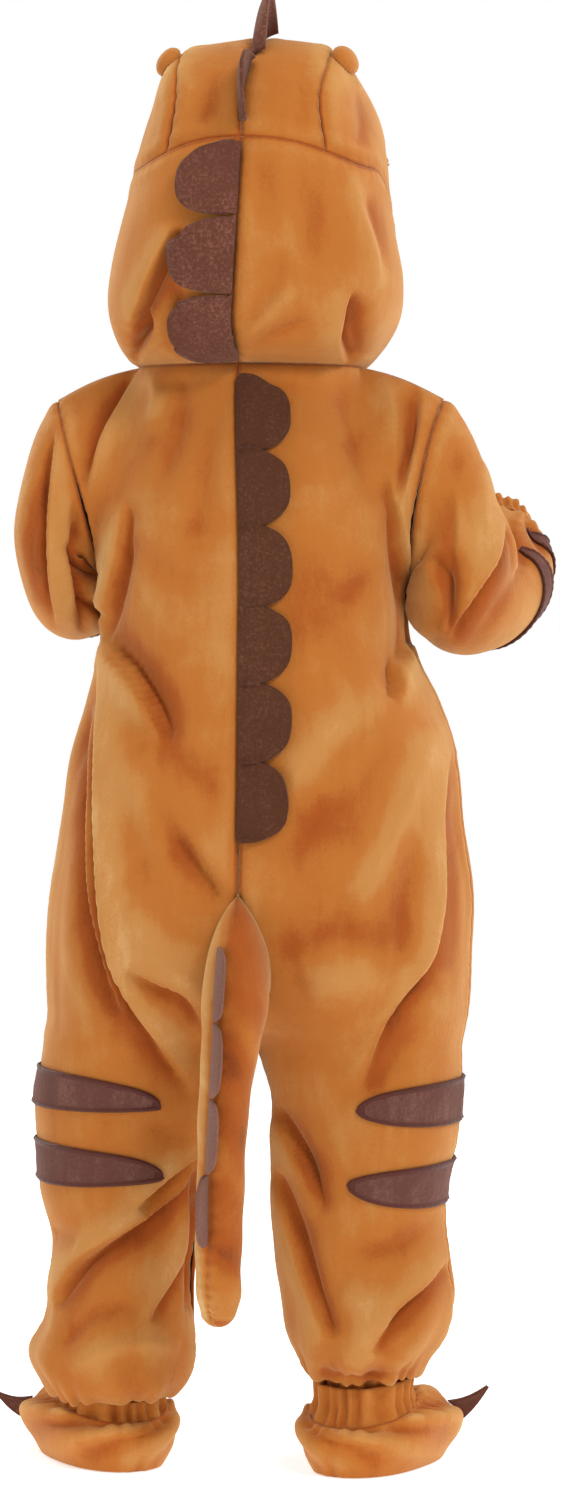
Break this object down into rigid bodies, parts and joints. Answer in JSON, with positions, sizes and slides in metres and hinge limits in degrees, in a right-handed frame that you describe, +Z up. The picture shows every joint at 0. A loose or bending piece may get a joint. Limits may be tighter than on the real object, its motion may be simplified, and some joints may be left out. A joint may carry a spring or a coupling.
{
  "type": "dinosaur costume garment",
  "caption": "Hooded plush dinosaur all-in-one for a small child, worn pose, with felt spikes down the back, a stuffed tail, striped sleeves and legs, and clawed booties.",
  "frame": {"origin": "middle of the neck opening at shoulder height, where the wearer's shoulders carry the costume", "axes": "+Z up, the front faces -Y, the wearer's left is +X; the booties stand on the floor at z = -0.7268 m"},
  "size_m": [0.3817, 0.3132, 0.9813],
  "materials": {
    "plush_tan": "short-pile velour",
    "plush_brown": "short-pile velour, satin-stitched edge",
    "felt_brown": "matt felt",
    "button_brown": "satin"
  },
  "bodies": {
    "root": {"back_left": "plush_tan", "back_right": "plush_tan", "front_left": "plush_tan", "front_right": "plush_tan", "sleeve_left": "plush_tan", "sleeve_cuff_left": "plush_tan", "sleeve_stripe_left_1": "plush_brown", "sleeve_stripe_left_2": "plush_brown", "leg_cuff_left": "plush_tan", "leg_stripe_left_1": "plush_brown", "leg_stripe_left_2": "plush_brown", "hood_back_left": "plush_tan", "crown_centre_left": "plush_tan", "crown_side_left": "plush_tan", "brow_left": "plush_tan", "bootie_left": "plush_tan", "bootie_collar_left": "plush_tan", "bootie_sole_left": "plush_tan", "claw_left_1": "felt_brown", "claw_left_2": "felt_brown", "claw_left_3": "felt_brown", "sleeve_right": "plush_tan", "sleeve_cuff_right": "plush_tan", "sleeve_stripe_right_1": "plush_brown", "sleeve_stripe_right_2": "plush_brown", "leg_cuff_right": "plush_tan", "leg_stripe_right_1": "plush_brown", "leg_stripe_right_2": "plush_brown", "hood_back_right": "plush_tan", "crown_centre_right": "plush_tan", "crown_side_right": "plush_tan", "brow_right": "plush_tan", "bootie_right": "plush_tan", "bootie_collar_right": "plush_tan", "bootie_sole_right": "plush_tan", "claw_right_1": "felt_brown", "claw_right_2": "felt_brown", "claw_right_3": "felt_brown", "spike_hood_1": "felt_brown", "spike_hood_2": "felt_brown", "spike_hood_3": "felt_brown", "spike_back_1": "felt_brown", "spike_back_2": "felt_brown", "spike_back_3": "felt_brown", "spike_back_4": "felt_brown", "spike_back_5": "felt_brown", "spike_back_6": "felt_brown", "spike_crown_1": "felt_brown", "spike_crown_2": "felt_brown", "spike_tail_1": "felt_brown", "spike_tail_2": "felt_brown", "spike_tail_3": "felt_brown", "spike_tail_4": "felt_brown", "tail": "plush_tan", "placket": "plush_tan", "button_1": "button_brown", "button_2": "button_brown", "button_3": "button_brown", "button_4": "button_brown"}
  },
  "joints": []
}
